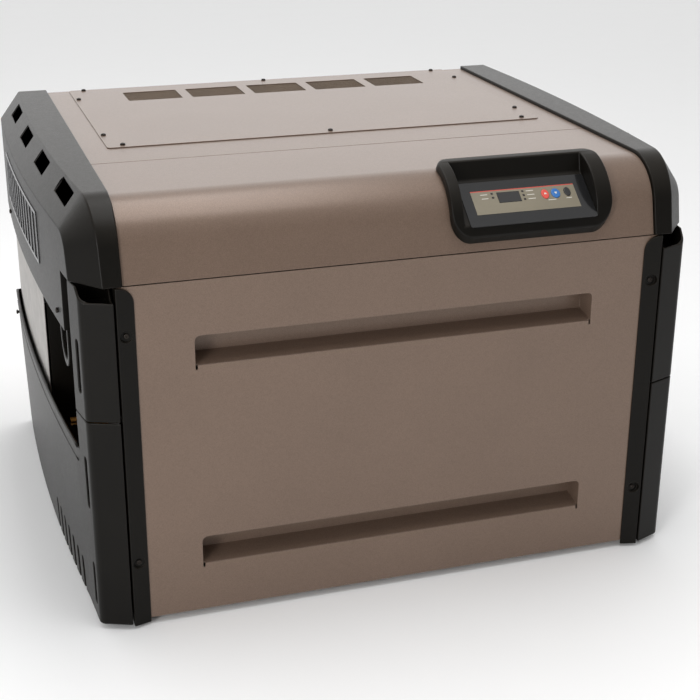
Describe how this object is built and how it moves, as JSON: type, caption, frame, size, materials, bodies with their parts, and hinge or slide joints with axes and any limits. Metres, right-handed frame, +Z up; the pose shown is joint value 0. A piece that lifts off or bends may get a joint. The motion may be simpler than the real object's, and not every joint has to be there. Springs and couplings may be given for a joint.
{
  "type": "gas pool heater",
  "caption": "Low cabinet water heater with a rolled metal hood, lift-off door with two grip pockets, bevelled moulded side covers, and a recessed control panel.",
  "frame": {"origin": "on the ground under the middle of the cabinet, half way between the sides and between the door face and the rear panel", "axes": "+X to the right of someone facing the door, +Y to the back, +Z up"},
  "size_m": [0.9376, 0.757, 0.6179],
  "materials": {
    "painted_taupe": "metallic taupe powder coat, satin",
    "galvanised_steel": "galvanised, satin",
    "black_moulding": "moulded black plastic, fine texture, soft sheen",
    "vent_screen": "perforated steel, brown",
    "dark_screw": "black oxide",
    "bright_badge": "satin silver trim",
    "black_faceplate": "gloss black membrane",
    "beige_label": "printed satin overlay",
    "display_glass": "dark display window",
    "led_lens": "dark red lens",
    "red_button": "red dome",
    "blue_button": "blue dome",
    "black_button": "black dome",
    "circuit_board": "solder mask",
    "motor_shell": "black enamel",
    "impeller_metal": "bare sheet",
    "cast_alloy": "die cast",
    "knob_red": "moulded",
    "black_pipe": "black steel pipe",
    "burner_steel": "heat-tinted stainless",
    "igniter_ceramic": "unglazed",
    "refractory_board": null,
    "copper": "bare copper",
    "cast_iron_plate": "coated",
    "header_plastic": "glass-filled black",
    "white_socket": "white pipe plastic",
    "valve_brass": "bare brass",
    "spring_steel": "spring wire",
    "wire_sleeve": "braided sleeve"
  },
  "bodies": {
    "cabinet": {"front_hood": "painted_taupe", "top_panel": "painted_taupe", "exhaust_lid": "painted_taupe", "rear_panel": "painted_taupe", "base_skids": "galvanised_steel", "base_pan": "galvanised_steel", "left_side_panel": "galvanised_steel", "right_side_panel": "galvanised_steel", "bulkhead": "galvanised_steel", "service_plates": "galvanised_steel", "control_box": "galvanised_steel", "air_duct": "galvanised_steel", "burner_tray": "galvanised_steel", "combustion_chamber": "galvanised_steel", "flue_collector": "galvanised_steel", "blower_housing": "galvanised_steel", "left_upper_cover": "black_moulding", "right_upper_cover": "black_moulding", "corner_posts": "black_moulding", "left_lower_cover": "black_moulding", "right_lower_cover": "black_moulding", "port_baffles": "black_moulding", "control_bezel": "black_moulding", "vent_screens": "vent_screen", "cabinet_screws": "dark_screw", "side_badges": "bright_badge", "control_faceplate": "black_faceplate", "control_label": "beige_label", "display_window": "display_glass", "status_leds": "led_lens", "display_board": "circuit_board", "control_board": "circuit_board", "blower_motor": "motor_shell", "gas_valve": "cast_alloy", "gas_pipe": "black_pipe", "gas_manifold": "black_pipe", "burners": "burner_steel", "igniter": "igniter_ceramic", "refractory_panels": "refractory_board", "exchanger_tubes": "copper", "exchanger_fins": "copper", "tube_sheets": "cast_iron_plate", "flow_header": "header_plastic", "return_header": "header_plastic", "union_nuts": "header_plastic", "union_tails": "white_socket", "drain_cock": "valve_brass", "bypass_spring": "spring_steel", "wiring_harness": "wire_sleeve"},
    "access_door": {"front_panel": "painted_taupe", "grip_pans": "painted_taupe", "front_strips": "black_moulding", "door_screws": "dark_screw"},
    "up_button": {"up_button": "red_button"},
    "down_button": {"down_button": "blue_button"},
    "mode_button": {"mode_button": "black_button"},
    "blower_wheel": {"blower_impeller": "impeller_metal"},
    "gas_knob": {"gas_valve_knob": "knob_red"},
    "drain_lever": {"drain_handle": "valve_brass"},
    "bypass_poppet": {"bypass_valve": "valve_brass"}
  },
  "joints": [
    {"name": "door_draw", "type": "slide", "parent": "cabinet", "child": "access_door", "axis": [0, -1, 0], "range_m": [0, 0.35]},
    {"name": "up_button_press", "type": "slide", "parent": "cabinet", "child": "up_button", "axis": [0, 0.6129, -0.7902], "range_m": [0, 0.0008], "stiffness_N_per_m": 600, "springref_m": -0.0005},
    {"name": "down_button_press", "type": "slide", "parent": "cabinet", "child": "down_button", "axis": [0, 0.6129, -0.7902], "range_m": [0, 0.0008], "stiffness_N_per_m": 600, "springref_m": -0.0005},
    {"name": "mode_button_press", "type": "slide", "parent": "cabinet", "child": "mode_button", "axis": [0, 0.6129, -0.7902], "range_m": [0, 0.0008], "stiffness_N_per_m": 600, "springref_m": -0.0005},
    {"name": "blower_spin", "type": "hinge", "parent": "cabinet", "child": "blower_wheel", "pos_m": [0.23, -0.2445, 0.28], "axis": [0, 1, 0], "continuous": true},
    {"name": "gas_knob_turn", "type": "hinge", "parent": "cabinet", "child": "gas_knob", "pos_m": [-0.15, -0.2645, 0.3], "axis": [0, -1, 0], "range_deg": [0, 90]},
    {"name": "drain_turn", "type": "hinge", "parent": "cabinet", "child": "drain_lever", "pos_m": [-0.412, -0.1395, 0.235], "axis": [0, 0, 1], "range_deg": [0, 90]},
    {"name": "bypass_lift", "type": "slide", "parent": "cabinet", "child": "bypass_poppet", "axis": [0, 0, 1], "range_m": [0, 0.006], "stiffness_N_per_m": 500, "springref_m": -0.006, "deforming": ["bypass_spring"]}
  ]
}
